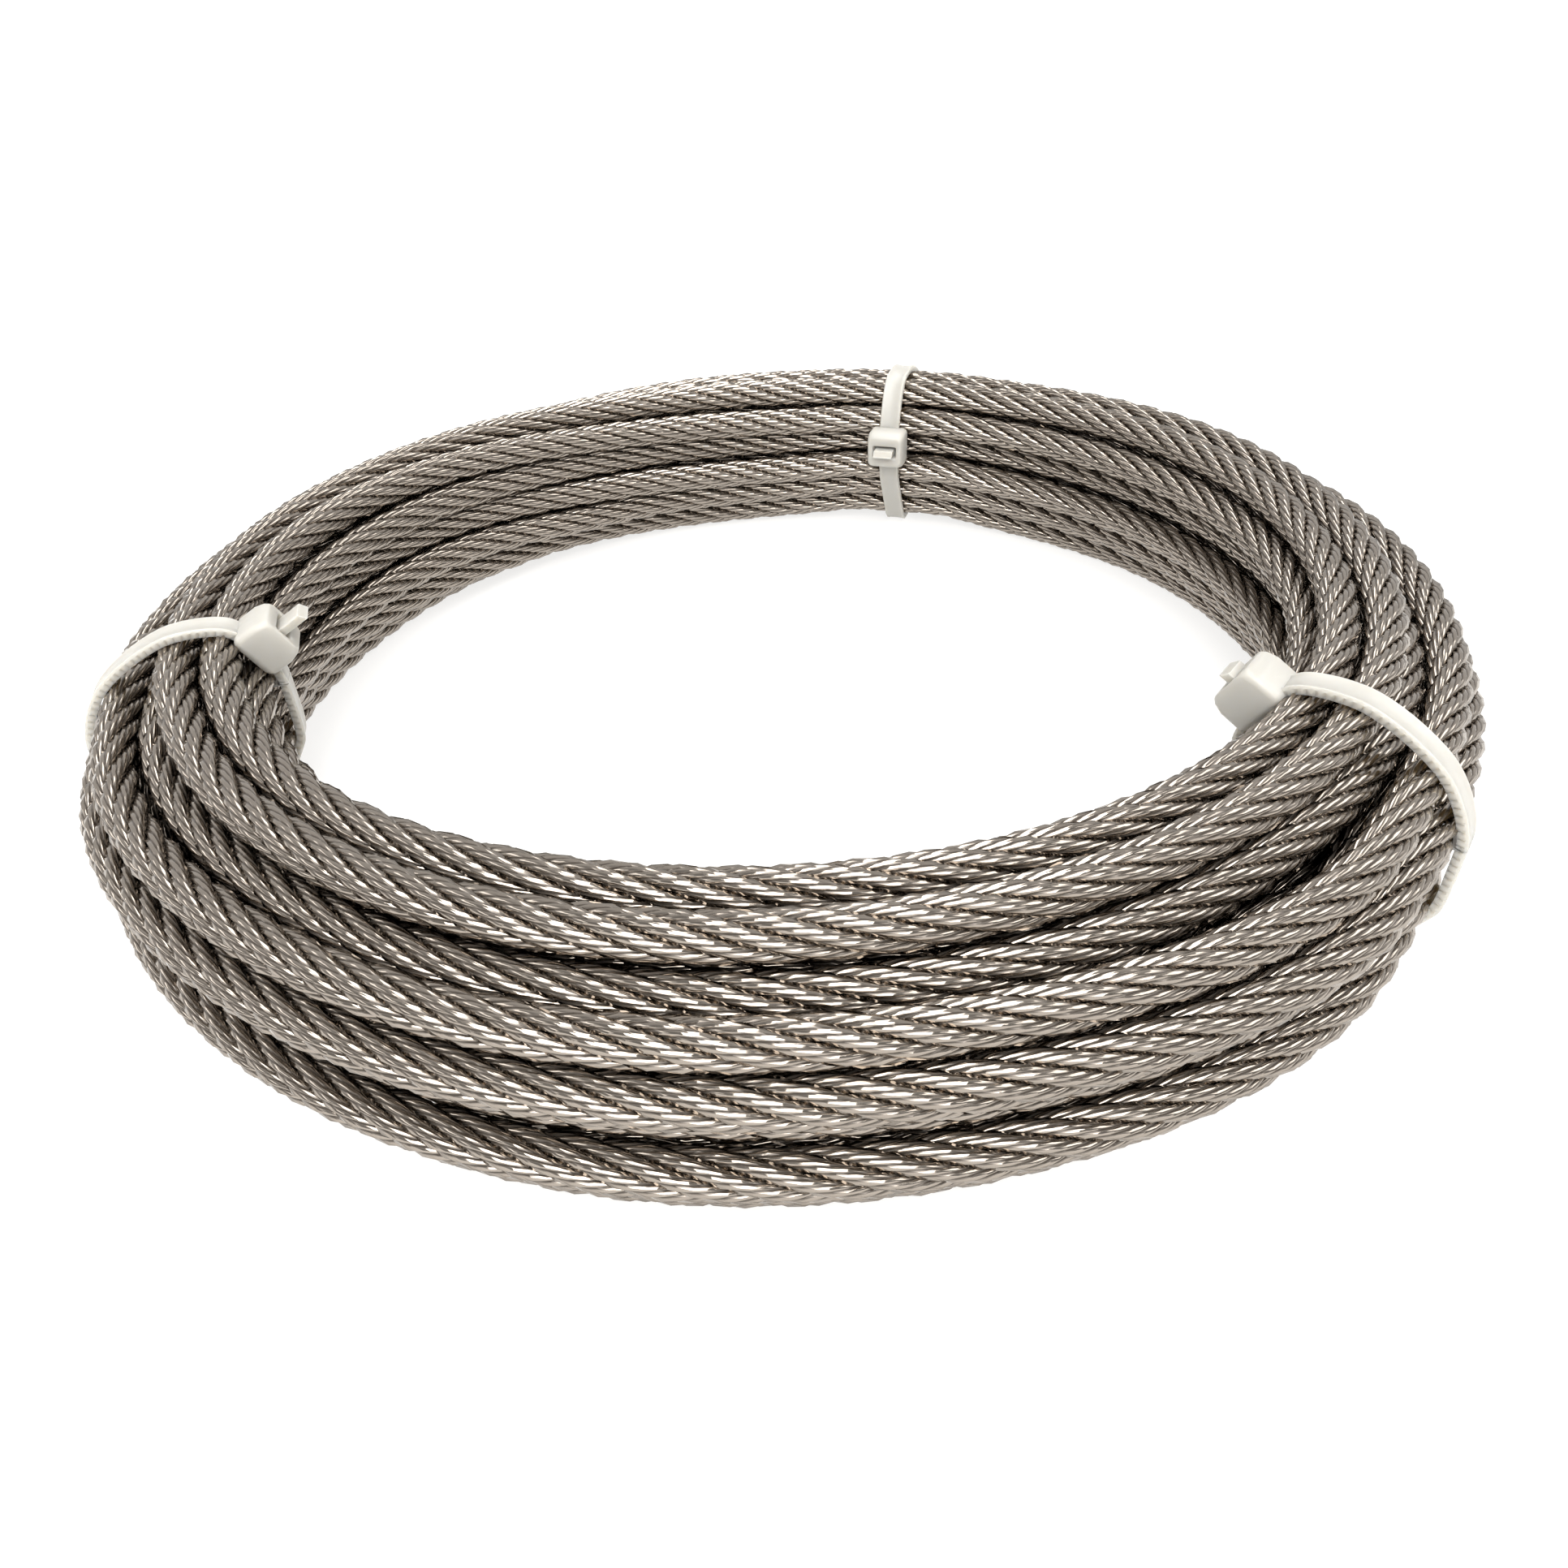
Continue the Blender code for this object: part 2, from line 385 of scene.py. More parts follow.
def parted(azimuths, places):
    """The places, with the outer turns moved where the bundle gapes."""
    moved = places.copy()
    for azimuth, reach, least, direction, distance in PARTINGS:
        aside = np.abs((azimuths - azimuth + 180) % 360 - 180)
        share = (1 + np.cos(np.pi * np.clip(aside / reach, 0, 1))) / 2 * (places[:, 0] > least)
        turned = math.radians(direction)
        moved += share[:, None] * distance * np.array((math.cos(turned), math.sin(turned)))
    return moved


def slack(azimuths):
    """Low waves of the hand-wound turns, another one in each direction of the cut."""
    chance = np.random.RandomState(WAVE_SEED)
    turned = np.radians(azimuths)
    waves = np.zeros((len(azimuths), 2))
    for count in WAVE_COUNTS:
        for side in range(2):
            drift = chance.uniform(0.93, 1.07)
            phase = chance.uniform(0, 2 * math.pi)
            waves[:, side] += WAVE_HEIGHT * np.sin(count * drift * turned + phase)
    return waves


def settled(targets, held):
    """The rope's places after its turns have pressed each other apart."""
    places = targets.copy()
    for _ in range(SETTLE_ROUNDS):
        places += (targets - places) * FOLLOW_TARGET
        places[1:-1] += (places[:-2] + places[2:] - 2 * places[1:-1]) * FOLLOW_NEIGHBOURS
        for apart in range(STATIONS, len(places), STATIONS):
            gap = places[apart:] - places[:-apart]
            distance = np.maximum(np.linalg.norm(gap, axis=1, keepdims=True), 1e-6)
            push = gap / distance * np.clip(ROPE_DIAMETER - distance, 0, None) / 2
            places[:-apart] -= push
            places[apart:] += push
        places[:, 1] = np.maximum(places[:, 1], ROPE_RADIUS)
        places = places * (1 - held) + targets * held
    return places


def rope_route():
    """Stations of the rope: azimuths in degrees and places in the cut."""
    azimuths = station_azimuths()
    share = pinch_share(azimuths)
    calm = pinched(parted(azimuths, wanted_places(azimuths)), share)
    targets = calm + slack(azimuths) * (1 - share)[:, None]
    return azimuths, settled(targets, share[:, None])


def between_stations(azimuths, places, wanted):
    """Points of the smooth line through the stations, at the wanted azimuths."""
    position = (wanted - azimuths[0]) / STATION_STEP
    index = np.clip(np.floor(position).astype(int), 1, len(places) - 3)
    part = (position - index)[:, None]
    a, b, c, d = (places[index + shift] for shift in (-1, 0, 1, 2))
    bend = 2 * a - 5 * b + 4 * c - d + part * (3 * (b - c) + d - a)
    in_cut = b + part / 2 * (c - a + part * bend)
    turned = np.radians(wanted)
    radius = COIL_RADIUS + in_cut[:, 0] + OVAL * np.cos(2 * (turned - OVAL_AZIMUTH))
    return np.stack((radius * np.cos(turned), radius * np.sin(turned), in_cut[:, 1]), axis=1)


def rope_points(route):
    """Points of the whole rope, how far along it each one is, and where its turns meet."""
    azimuths, places = route
    last = azimuths[-1]
    fine = np.minimum(np.arange(azimuths[0], last + FINE_STEP, FINE_STEP), last)
    steps = np.linalg.norm(np.diff(between_stations(azimuths, places, fine), axis=0), axis=1)
    lengths = np.concatenate(([0.0], np.cumsum(steps)))
    along = [0.0]
    joints = [0]
    for turn in range(len(BURIED_PLACES + SHOWN_PLACES)):
        hidden = turn < len(BURIED_PLACES) or turn == UNDERSIDE_TURN
        step = HIDDEN_STEP if hidden else SHOWN_STEP
        start = CROSSING_AZIMUTH + 360 * turn
        for end in (TIE_AZIMUTHS["back"] + 360 * (turn + 1), start + 360):
            length = np.interp(min(end, last), fine, lengths)
            count = math.ceil((length - along[-1]) / step)
            along += list(np.linspace(along[-1], length, count + 1)[1:])
            if end < start + 360:
                joints.append(len(along) - 1)
    joints[-1] = len(along) - 1
    along = np.array(along)
    return between_stations(azimuths, places, np.interp(along, lengths, fine)), along, joints


def strand_tree():
    """Geometry Nodes that turn a line into a rope of six strands round a core."""
    tree = bpy.data.node_groups.new("stranded_rope", "GeometryNodeTree")
    tree.interface.new_socket("Line", in_out="INPUT", socket_type="NodeSocketGeometry")
    for name in ("Rope Diameter", "Fullness", "Strand Lay", "Wire Lay", "Groove", "Core Step"):
        tree.interface.new_socket(name, in_out="INPUT", socket_type="NodeSocketFloat")
    tree.interface.new_socket("Material", in_out="INPUT", socket_type="NodeSocketMaterial")
    tree.interface.new_socket("Rope", in_out="OUTPUT", socket_type="NodeSocketGeometry")
    given = add_node(tree, "NodeGroupInput").outputs
    along = attribute(tree, "along")
    line = add_node(tree, "GeometryNodeMeshToCurve", None, {0: given["Line"]})

    # Copies of the line, each wound round it as a strand with a right-hand lay. A rope is three
    # strands across, so a strand's radius is a sixth of the rope's diameter, times its fullness.
    copies = add_node(
        tree, "GeometryNodeDuplicateElements", {"domain": "SPLINE"},
        {"Geometry": line.outputs[0], "Amount": STRANDS},
    )
    faced = add_node(
        tree, "GeometryNodeSetCurveNormal", {"mode": "Z_UP"}, {"Curve": copies.outputs["Geometry"]},
    )
    turns = calculated(tree, "DIVIDE", along, given["Strand Lay"])
    shares = calculated(tree, "DIVIDE", copies.outputs["Duplicate Index"], float(STRANDS))
    angle = calculated(tree, "MULTIPLY", calculated(tree, "ADD", turns, shares), 2 * math.pi)
    normal = add_node(tree, "GeometryNodeInputNormal")
    tangent = add_node(tree, "GeometryNodeInputTangent")
    aside = add_node(
        tree, "ShaderNodeVectorRotate", {"rotation_type": "AXIS_ANGLE"},
        {"Vector": normal.outputs[0], "Axis": tangent.outputs[0], "Angle": angle},
    )
    core_radius = calculated(tree, "DIVIDE", given["Rope Diameter"], 6.0)
    strand_radius = calculated(tree, "MULTIPLY", core_radius, given["Fullness"])
    rope_radius = calculated(tree, "DIVIDE", given["Rope Diameter"], 2.0)
    reach = calculated(tree, "SUBTRACT", rope_radius, strand_radius)
    offset = add_node(
        tree, "ShaderNodeVectorMath", {"operation": "SCALE"},
        {"Vector": aside.outputs[0], "Scale": reach},
    )
    wound = add_node(
        tree, "GeometryNodeSetPosition", None,
        {"Geometry": faced.outputs[0], "Offset": offset.outputs[0]},
    )

    # The wires of a strand turn the other way round it
    strands = add_node(
        tree, "GeometryNodeSetCurveNormal", {"mode": "Z_UP"}, {"Curve": wound.outputs[0]},
    )
    wire_turns = calculated(tree, "DIVIDE", along, given["Wire Lay"])
    wire_angle = calculated(tree, "MULTIPLY", wire_turns, -2 * math.pi)
    twisted = add_node(
        tree, "GeometryNodeSetCurveTilt", None, {"Curve": strands.outputs[0], "Tilt": wire_angle},
    )

    # A strand's section: the crown of each of its outer wires, and the groove after it
    circle = add_node(
        tree, "GeometryNodeCurvePrimitiveCircle", {"mode": "RADIUS"},
        {"Resolution": 2 * WIRES, "Radius": strand_radius},
    )
    index = add_node(tree, "GeometryNodeInputIndex")
    in_groove = calculated(tree, "MODULO", index.outputs[0], 2.0)
    crest = calculated(tree, "SUBTRACT", 1.0, in_groove)
    position = add_node(tree, "GeometryNodeInputPosition")
    sunk = add_node(
        tree, "ShaderNodeVectorMath", {"operation": "SCALE"},
        {"Vector": position.outputs[0], "Scale": given["Groove"]},
    )
    grooved = add_node(
        tree, "GeometryNodeSetPosition", None,
        {"Geometry": circle.outputs[0], "Selection": in_groove, "Position": sunk.outputs[0]},
    )
    # The crest share also tells the wire's material where to paint shade into the grooves
    section = add_node(
        tree, "GeometryNodeStoreNamedAttribute", {"data_type": "FLOAT", "domain": "POINT"},
        {"Geometry": grooved.outputs[0], "Name": "crest", "Value": crest},
    )
    wires = add_node(
        tree, "GeometryNodeCurveToMesh", None,
        {"Curve": twisted.outputs[0], "Profile Curve": section.outputs[0], "Fill Caps": True},
    )
    along_groove = add_node(
        tree, "FunctionNodeCompare", {"data_type": "FLOAT", "operation": "LESS_THAN"},
        {"A": attribute(tree, "crest"), "B": 0.25},
    )
    creased = add_node(
        tree, "GeometryNodeStoreNamedAttribute", {"data_type": "BOOLEAN", "domain": "EDGE"},
        {"Geometry": wires.outputs[0], "Name": "sharp_edge", "Value": along_groove.outputs[0]},
    )

    # The straight core strand, which shows only at the cut ends
    core_line = add_node(
        tree, "GeometryNodeResampleCurve", {"mode": "LENGTH"},
        {"Curve": line.outputs[0], "Length": given["Core Step"]},
    )
    core_circle = add_node(
        tree, "GeometryNodeCurvePrimitiveCircle", {"mode": "RADIUS"},
        {"Resolution": WIRES, "Radius": core_radius},
    )
    core = add_node(
        tree, "GeometryNodeCurveToMesh", None,
        {
            "Curve": core_line.outputs[0], "Profile Curve": core_circle.outputs[0],
            "Fill Caps": True,
        },
    )
    joined = add_node(tree, "GeometryNodeJoinGeometry", None, {"Geometry": core.outputs[0]})
    tree.links.new(creased.outputs[0], joined.inputs[0])
    smooth = add_node(tree, "GeometryNodeSetShadeSmooth", None, {"Geometry": joined.outputs[0]})
    real = add_node(tree, "GeometryNodeRealizeInstances", None, {"Geometry": smooth.outputs[0]})
    painted = add_node(
        tree, "GeometryNodeSetMaterial", None,
        {"Geometry": real.outputs[0], "Material": given["Material"]},
    )
    add_node(tree, "NodeGroupOutput", None, {"Rope": painted.outputs[0]})
    return tree


def link_piece(name, mesh):
    """Links a mesh as an object and returns it."""
    piece = bpy.data.objects.new(name, mesh)
    bpy.context.scene.collection.objects.link(piece)
    return piece


def plain_mesh(piece, name):
    """Turns the result of a piece's modifiers into its own mesh and removes them."""
    depsgraph = bpy.context.evaluated_depsgraph_get()
    mesh = bpy.data.meshes.new_from_object(
        piece.evaluated_get(depsgraph), preserve_all_data_layers=True, depsgraph=depsgraph,
    )
    mesh.name = name
    piece.modifiers.clear()
    piece.data = mesh


def rope_run(tree, name, points, along, settings, material):
    """One run of turns as a piece of stranded rope."""
    line = bpy.data.meshes.new(name + "_line")
    line.from_pydata(points.tolist(), [(i, i + 1) for i in range(len(points) - 1)], [])
    stored = line.attributes.new("along", "FLOAT", "POINT")
    stored.data.foreach_set("value", along.astype(np.float32))
    piece = link_piece(name, line)
    modifier = piece.modifiers.new("strands", "NODES")
    modifier.node_group = tree
    values = {
        "Rope Diameter": ROPE_DIAMETER,
        "Fullness": settings.fullness,
        "Strand Lay": settings.strand_lay,
        "Wire Lay": settings.wire_lay,
        "Groove": settings.groove,
        "Core Step": CORE_STEP,
        "Material": material,
    }
    for socket in tree.interface.items_tree:
        if socket.in_out == "INPUT" and socket.name in values:
            modifier[socket.identifier] = values[socket.name]
    plain_mesh(piece, name)
    return piece


def stainless_wire(settings):
    """Bright drawn stainless steel wire.

    Drawing leaves it bright, with duller patches about 6 mm across. The grooves between the
    wires are painted a warm dark grey with less metal sheen: painted shade where the grooves
    lie in shadow, together with drawing grease. Bends of the laid wires, about 2 mm from one
    to the next, break up its glints.
    """
    material, tree, shader = new_material("stainless_wire")
    crest = add_node(tree, "ShaderNodeAttribute", {"attribute_name": "crest"})
    # Painted shade with grease: 1 deep in the grooves between the wires, 0 on the crowns
    groove_grease_and_shade = add_node(
        tree, "ShaderNodeMapRange", {"interpolation_type": "SMOOTHSTEP"},
        {
            "Value": crest.outputs["Fac"], "From Min": 0.12, "From Max": 0.52,
            "To Min": 1.0, "To Max": 0.0,
        },
    )
    place = add_node(tree, "ShaderNodeTexCoord")
    cloud = add_node(
        tree, "ShaderNodeTexNoise", None,
        {"Vector": place.outputs["Object"], "Scale": 160.0, "Detail": 2.0},
    )
    # Base colour goes from the steel on the crowns to the dark grey of painted shade and grease in
    # the grooves
    colour = add_node(
        tree, "ShaderNodeMix", {"data_type": "RGBA"},
        {0: groove_grease_and_shade.outputs[0], 6: (*settings.steel, 1.0), 7: (*settings.grease_and_shade, 1.0)},
    )
    tree.links.new(colour.outputs[2], shader.inputs["Base Color"])
    # The metal sheen fades in the grooves as well, part of the same painted shade
    bare = add_node(
        tree, "ShaderNodeMapRange", None,
        {"Value": groove_grease_and_shade.outputs[0], "To Min": 1.0, "To Max": 1.0 - GREASE_AND_SHADE_COVER},
    )
    tree.links.new(bare.outputs[0], shader.inputs["Metallic"])
    rough = add_node(
        tree, "ShaderNodeMapRange", None,
        {
            "Value": cloud.outputs["Fac"], "From Min": 0.3, "From Max": 0.7,
            "To Min": settings.roughness - 0.05, "To Max": settings.roughness + 0.07,
        },
    )
    tree.links.new(rough.outputs[0], shader.inputs["Roughness"])
    bends = add_node(
        tree, "ShaderNodeTexNoise", None,
        {"Vector": place.outputs["Object"], "Scale": 540.0, "Detail": 2.0},
    )
    bump = add_node(
        tree, "ShaderNodeBump", None,
        {"Height": bends.outputs["Fac"], "Strength": 0.9, "Distance": 0.00007},
    )
    tree.links.new(bump.outputs[0], shader.inputs["Normal"])
    return material


class ROPECOIL_OT_rope(bpy.types.Operator):
    """Lay the rope in its turns, strand by strand"""
    bl_idname = "ropecoil.rope"
    bl_label = "Lay the Rope"

    def execute(self, context):
        settings = context.scene.coil_rope
        points, along, joints = rope_points(rope_route())
        tree = strand_tree()
        material = stainless_wire(settings)
        for first_turn, end_turn in TURN_RUNS:
            name = f"rope_turns_{first_turn + 1:02d}_{end_turn:02d}"
            run = slice(joints[first_turn], joints[end_turn] + 1)
            piece = rope_run(tree, name, points[run], along[run], settings, material)
            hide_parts("rope_coil")
            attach(piece, "root")
        bpy.data.node_groups.remove(tree)
        return {"FINISHED"}


def seat_line(step):
    """Evenly spaced points of the strap's line round the pinched bundle, with their normals.

    The line is tight underneath, and above it bridges the ropes in an easy arc.
    """
    centres = pinched(winding_places(), 1.0)
    angles = np.linspace(0, 2 * math.pi, SEAT_POINTS, endpoint=False)
    outwards = np.stack((np.cos(angles), np.sin(angles)), axis=1)
    forwards = np.stack((-outwards[:, 1], outwards[:, 0]), axis=1)
    tight = (centres @ outwards.T).max(axis=0) + ROPE_RADIUS + STRAP_GAP
    eased = tight
    for _ in range(EASING_ROUNDS):
        eased = (np.roll(eased, EASING_REACH) + 2 * eased + np.roll(eased, -EASING_REACH)) / 4
    lowest, highest = EASING_HEIGHTS
    share = smooth_step((outwards[:, 1] - lowest) / (highest - lowest))
    reach = tight + share * (eased + EASING_LIFT - tight)
    slope = (np.roll(reach, -1) - np.roll(reach, 1)) / (2 * (angles[1] - angles[0]))
    line = reach[:, None] * outwards + slope[:, None] * forwards
    closed = np.vstack((line, line[:1]))
    lengths = np.concatenate(([0.0], np.cumsum(np.linalg.norm(np.diff(closed, axis=0), axis=1))))
    count = TOOTH_RINGS * round(lengths[-1] / step / TOOTH_RINGS)
    wanted = np.linspace(0, lengths[-1], count, endpoint=False)
    points = np.stack([np.interp(wanted, lengths, closed[:, axis]) for axis in range(2)], axis=1)
    along = np.roll(points, -1, axis=0) - np.roll(points, 1, axis=0)
    along /= np.linalg.norm(along, axis=1, keepdims=True)
    return points, np.stack((along[:, 1], -along[:, 0]), axis=1)


def loft(builder, rings, closed=False):
    """Skins rings of equally many points; closed rings meet again, others get end faces."""
    loops = [[builder.verts.new(point) for point in ring] for ring in rings]
    pairs = list(zip(loops, loops[1:]))
    if closed:
        pairs.append((loops[-1], loops[0]))
    for near, far in pairs:
        for i in range(len(near)):
            builder.faces.new((near[i - 1], near[i], far[i], far[i - 1]))
    if not closed:
        builder.faces.new(loops[0])
        builder.faces.new(loops[-1])


def strap_section(width, tooth, notch):
    """Section of the strap as (across, outwards): toothed inside, with a rim at each side."""
    half = width / 2
    thick = STRAP_THICKNESS
    right = (
        (half - RIM_WIDTH, tooth), (half - RIM_WIDTH / 2, 0.0), (half - EDGE_RADIUS, 0.0),
        (half - notch, 0.35 * thick), (half, 0.75 * thick), (half - EDGE_RADIUS, thick),
        (half - RIM_WIDTH, thick), (half - 1.4 * RIM_WIDTH, thick - RIM_HEIGHT),
    )
    left = [(-across, out) for across, out in reversed(right)]
    return [*right, *left]


def strap_rings(settings):
    """Rings of the strap round the bundle, the last of each tooth in the groove after it."""
    points, normals = seat_line(settings.tooth_pitch / TOOTH_RINGS)
    sections = (
        strap_section(settings.strap_width, 0.0, 0.0),
        strap_section(settings.strap_width, settings.tooth_depth, NOTCH_DEPTH),
    )
    rings = []
    for index, (point, normal) in enumerate(zip(points, normals)):
        section = sections[(index + 1) % TOOTH_RINGS == 0]
        rings.append([(*(point + normal * out), across) for across, out in section])
    return [[(x, across, z) for x, z, across in ring] for ring in rings]


def rounded_rectangle(length, width, radius):
    """Corners of a rectangle with round corners, anticlockwise."""
    points = []
    for corner, (side, end) in enumerate(((1, 1), (-1, 1), (-1, -1), (1, -1))):
        centre = (side * (length / 2 - radius), end * (width / 2 - radius))
        for step in range(CORNER_STEPS + 1):
            angle = (corner + step / CORNER_STEPS) * math.pi / 2
            turned = (radius * math.cos(angle), radius * math.sin(angle))
            points.append((centre[0] + turned[0], centre[1] + turned[1]))
    return points


def head_rings():
    """Rings of the head from the strap outwards, ending in the pocket that the tail leaves."""
    levels = (
        (-0.0004, 0.86, 0.86), (0.0004, 1.00, 1.00), (0.0030, 1.00, 1.00),
        (0.0042, 0.90, 0.96), (HEAD_HEIGHT, 0.78, 0.88),
    )
    rings = []
    for height, length_share, width_share in levels:
        length, width = HEAD_LENGTH * length_share, HEAD_WIDTH * width_share
        outline = rounded_rectangle(length, width, HEAD_CORNER)
        rings.append([(along, across, height) for along, across in outline])
    for height, grow in ((HEAD_HEIGHT, POCKET_GAP), (HEAD_HEIGHT - POCKET_DEPTH, POCKET_GAP / 2)):
        length, width = STRAP_THICKNESS + 2 * grow, TAIL_WIDTH + 2 * grow
        outline = rounded_rectangle(length, width, POCKET_CORNER)
        rings.append([(along, across, height) for along, across in outline])
    return rings


def tail_rings(settings, length):
    """Rings of the tail's cut stub, toothed on one side and snipped at a slant."""
    rings = []
    top = HEAD_HEIGHT + length
    count = 2 * math.ceil((top - TAIL_ROOT) / settings.tooth_pitch) + 1
    for index, height in enumerate(np.linspace(TAIL_ROOT, top, count)):
        outline = rounded_rectangle(STRAP_THICKNESS, TAIL_WIDTH, TAIL_CORNER)
        slant = SNIP_SLANT if index == count - 1 else 0.0
        tooth = settings.tooth_depth * (index % 2)
        ring = []
        for along, across in outline:
            inside = tooth if along < 0 and abs(across) < TAIL_WIDTH / 2 - RIM_WIDTH else 0.0
            ring.append((along + inside, across, height + slant * along))
        rings.append(ring)
    return rings


def head_place(angle):
    """Foot and outward direction of the straight stretch of the seat nearest an angle."""
    points, normals = seat_line(SEAT_STEP)
    middle = (points.min(axis=0) + points.max(axis=0)) / 2
    turned = np.arctan2(points[:, 1] - middle[1], points[:, 0] - middle[0])
    index = int(np.argmin(np.abs((turned - angle + math.pi) % (2 * math.pi) - math.pi)))
    return points[index], normals[index]


def stood_up(ring, foot, out):
    """Turns points given as (along, across, out) about a head's foot into the cut."""
    return [
        (foot[0] - out[1] * along + out[0] * up, across, foot[1] + out[0] * along + out[1] * up)
        for along, across, up in ring
    ]


def shell(name, rings, closed=False):
    """A closed skin over rings, with its faces outwards."""
    builder = bmesh.new()
    loft(builder, rings, closed)
    bmesh.ops.recalc_face_normals(builder, faces=builder.faces)
    mesh = bpy.data.meshes.new(name)
    builder.to_mesh(mesh)
    builder.free()
    mesh.shade_smooth()
    return link_piece(name, mesh)


def cable_tie(side, settings, material):
    """One cable tie: its strap, with the head and the tail's stub joined to it."""
    name = "nylon_tie_" + side
    foot, out = head_place(math.radians(HEAD_ANGLES[side]))
    tie = shell(name, strap_rings(settings), closed=True)
    head = shell("head_" + side, [stood_up(ring, foot, out) for ring in head_rings()])
    tail = tail_rings(settings, STUB_LENGTHS[side])
    soften = head.modifiers.new("soften", "BEVEL")
    soften.width = HEAD_EDGE
    soften.segments = 2
    soften.limit_method = "ANGLE"
    soften.angle_limit = math.radians(25)
    stub = shell("tail_" + side, [stood_up(ring, foot, out) for ring in tail])
    for part in (head, stub):
        union = tie.modifiers.new("join_" + part.name, "BOOLEAN")
        union.operation = "UNION"
        union.object = part
    plain_mesh(tie, name)
    for part in (head, stub):
        bpy.data.objects.remove(part)
    azimuth = math.radians(TIE_AZIMUTHS[side])
    radius = COIL_RADIUS + OVAL * math.cos(2 * (azimuth - OVAL_AZIMUTH))
    tie.data.transform(Matrix.Rotation(azimuth, 4, "Z") @ Matrix.Translation((radius, 0, 0)))
    tie.data.materials.clear()
    tie.data.materials.append(material)
    tie.data.shade_smooth()
    tie.data.set_sharp_from_angle(angle=math.radians(38))
    return tie


def natural_nylon(settings):
    """Natural nylon 6/6, injection moulded: milky, and a little light goes through it.

    Its satin skin has flow marks about 1 mm across.
    """
    material, tree, shader = new_material("natural_nylon")
    set_inputs(shader, {
        "Base Color": (*settings.nylon, 1.0),
        "IOR": 1.53,
        "Subsurface Weight": 0.8,
        "Subsurface Radius": (1.0, 0.9, 0.75),
        "Subsurface Scale": 0.0022,
    })
    place = add_node(tree, "ShaderNodeTexCoord")
    flow = add_node(
        tree, "ShaderNodeTexNoise", None,
        {"Vector": place.outputs["Object"], "Scale": 900.0, "Detail": 3.0},
    )
    rough = add_node(
        tree, "ShaderNodeMapRange", None,
        {
            "Value": flow.outputs["Fac"], "From Min": 0.3, "From Max": 0.7,
            "To Min": 0.30, "To Max": 0.42,
        },
    )
    tree.links.new(rough.outputs[0], shader.inputs["Roughness"])
    bump = add_node(
        tree, "ShaderNodeBump", None,
        {"Height": flow.outputs["Fac"], "Strength": 0.25, "Distance": 0.00005},
    )
    tree.links.new(bump.outputs[0], shader.inputs["Normal"])
    return material


class ROPECOIL_OT_ties(bpy.types.Operator):
    """Draw the three cable ties round the bundle"""
    bl_idname = "ropecoil.ties"
    bl_label = "Draw the Cable Ties"

    def execute(self, context):
        settings = context.scene.coil_ties
        material = natural_nylon(settings)
        for side in TIE_AZIMUTHS:
            tie = cable_tie(side, settings, material)
            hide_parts("cable_tie_" + side)
            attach(tie, "root")
        return {"FINISHED"}


class ROPECOIL_OT_stage(bpy.types.Operator):
    """Set up the floor, the light and the camera"""
    bl_idname = "ropecoil.stage"
    bl_label = "Set the Stage"

    def execute(self, context):
        settings = context.scene.coil_stage
        lay_floor(settings)
        hang_lights(settings)
        set_camera(settings)
        return {"FINISHED"}


def lay_floor(settings):
    """A wide, matt, pale floor of opal glass lit from below, so that shadows hardly show."""
    builder = bmesh.new()
    bmesh.ops.create_grid(builder, x_segments=1, y_segments=1, size=FLOOR_REACH)
    mesh = bpy.data.meshes.new("studio_floor")
    builder.to_mesh(mesh)
    builder.free()
    material, _, shader = new_material("opal_glass")
    set_inputs(shader, {
        "Base Color": (*settings.floor, 1.0),
        "Roughness": 0.9,
        "Emission Color": (1.0, 0.995, 0.985, 1.0),
        "Emission Strength": settings.floor_glow,
    })
    mesh.materials.append(material)
    link_piece("studio_floor", mesh)


def hang_lights(settings):
    """Pale screens behind the coil, a dim room in front, and lit windows round it."""
    world = bpy.data.worlds.new("studio_sky")
    world.use_nodes = True
    tree = world.node_tree
    place = add_node(tree, "ShaderNodeTexCoord")
    axis = add_node(tree, "ShaderNodeSeparateXYZ", None, {0: place.outputs["Generated"]}).outputs
    room = add_node(
        tree, "ShaderNodeMapRange", {"interpolation_type": "SMOOTHSTEP"},
        {
            "Value": axis["Y"], "From Min": -0.35, "From Max": 0.35,
            "To Min": settings.room_strength, "To Max": settings.screen_strength,
        },
    )
    total = room.outputs[0]
    for window, share in LIGHT_WINDOWS:
        lit = settings.key_strength * share
        for value, (low, high) in zip((axis["X"], axis["Y"], axis["Z"]), window):
            for dark, bright in ((low - WINDOW_EDGE, low), (high + WINDOW_EDGE, high)):
                edge = add_node(
                    tree, "ShaderNodeMapRange", {"interpolation_type": "SMOOTHSTEP"},
                    {"Value": value, "From Min": dark, "From Max": bright},
                )
                lit = calculated(tree, "MULTIPLY", edge.outputs[0], lit)
        total = calculated(tree, "ADD", total, lit)
    background = tree.nodes["Background"]
    background.inputs["Color"].default_value = (1.0, 0.992, 0.982, 1.0)
    tree.links.new(total, background.inputs["Strength"])
    bpy.context.scene.world = world
    bpy.context.scene.view_settings.view_transform = "Standard"


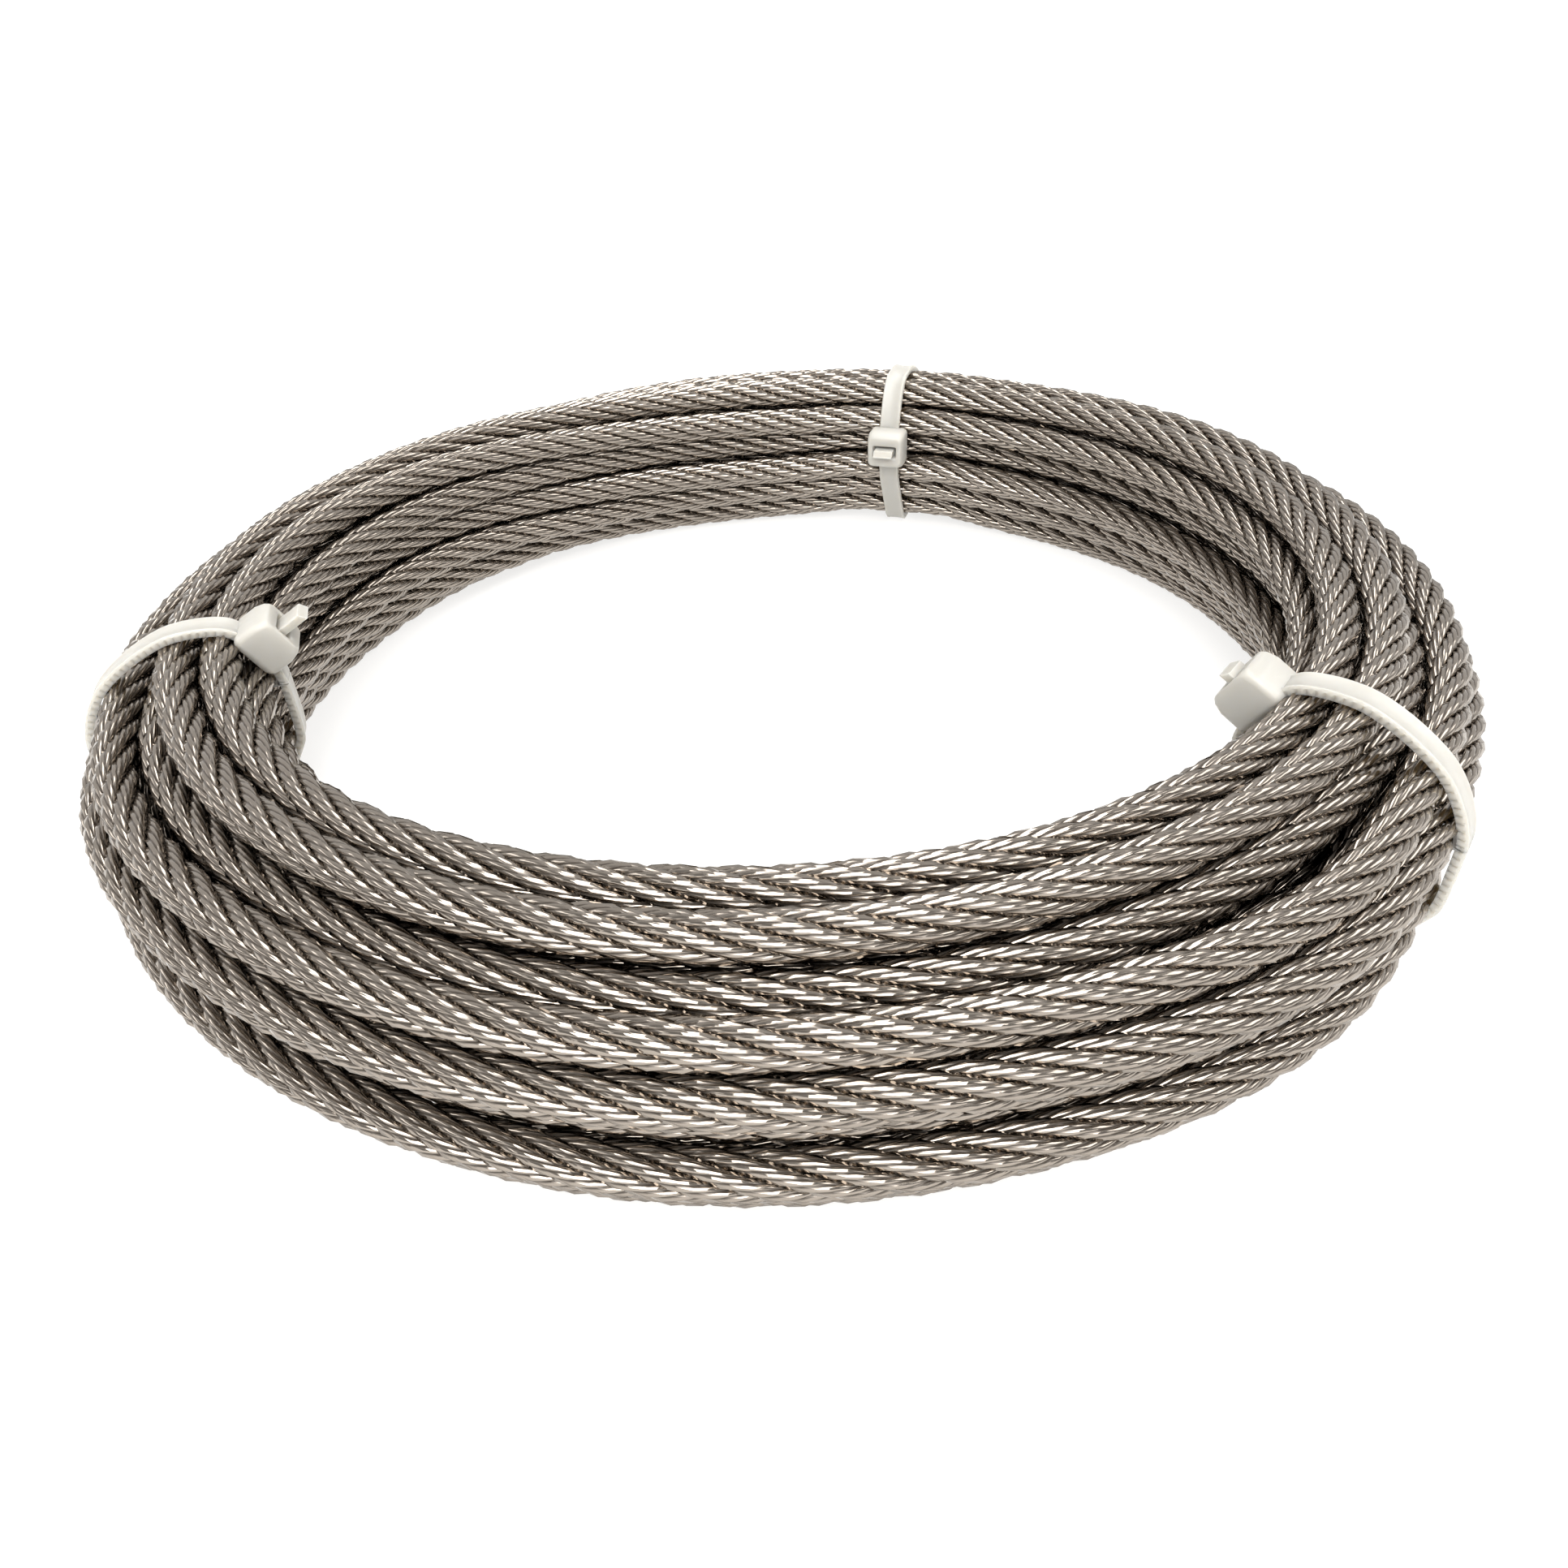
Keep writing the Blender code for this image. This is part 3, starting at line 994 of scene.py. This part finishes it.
def set_camera(settings):
    """The camera at the photograph's place and angle."""
    level = math.cos(settings.pitch)
    ahead = Vector((
        math.sin(settings.yaw) * level, math.cos(settings.yaw) * level, -math.sin(settings.pitch),
    ))
    right = ahead.cross(Vector((0, 0, 1))).normalized()
    up = right.cross(ahead)
    tipped_right = math.cos(settings.roll) * right + math.sin(settings.roll) * up
    tipped_up = math.cos(settings.roll) * up - math.sin(settings.roll) * right
    turn = Matrix((tipped_right, tipped_up, -ahead)).transposed()
    lens = bpy.data.cameras.new("photo_camera")
    lens.lens = settings.lens
    lens.sensor_width = 36.0
    lens.clip_start = 0.01
    camera = bpy.data.objects.new("photo_camera", lens)
    camera.matrix_world = Matrix.Translation(settings.camera_place) @ turn.to_4x4()
    bpy.context.scene.collection.objects.link(camera)
    bpy.context.scene.camera = camera


class ROPECOIL_PT_panel(bpy.types.Panel):
    """The pieces of the coil and their sizes and colours"""
    bl_label = "Coil of Wire Rope"
    bl_space_type = "VIEW_3D"
    bl_region_type = "UI"
    bl_category = "Wire Rope"

    def draw(self, context):
        for group, operator in GROUPS:
            box = self.layout.box()
            box.operator(operator)
            settings = getattr(context.scene, group)
            for name in settings.__annotations__:
                box.prop(settings, name)


GROUPS = (
    ("coil_rope", "ropecoil.rope"),
    ("coil_ties", "ropecoil.ties"),
    ("coil_stage", "ropecoil.stage"),
)
CLASSES = (
    RopeSettings, TieSettings, StageSettings,
    ROPECOIL_OT_rope, ROPECOIL_OT_ties, ROPECOIL_OT_stage,
    ROPECOIL_PT_panel,
)


def register():
    """Registers the classes and the settings kept in a scene."""
    for cls in CLASSES:
        bpy.utils.register_class(cls)
    bpy.types.Scene.coil_rope = PointerProperty(type=RopeSettings)
    bpy.types.Scene.coil_ties = PointerProperty(type=TieSettings)
    bpy.types.Scene.coil_stage = PointerProperty(type=StageSettings)


def unregister():
    """Takes away what register adds."""
    del bpy.types.Scene.coil_stage
    del bpy.types.Scene.coil_ties
    del bpy.types.Scene.coil_rope
    for cls in reversed(CLASSES):
        bpy.utils.unregister_class(cls)


def main():
    """Builds the pieces and the stage."""
    register()
    bpy.ops.ropecoil.rope()
    bpy.ops.ropecoil.ties()
    bpy.ops.ropecoil.stage()


if __name__ == "__main__":
    main()
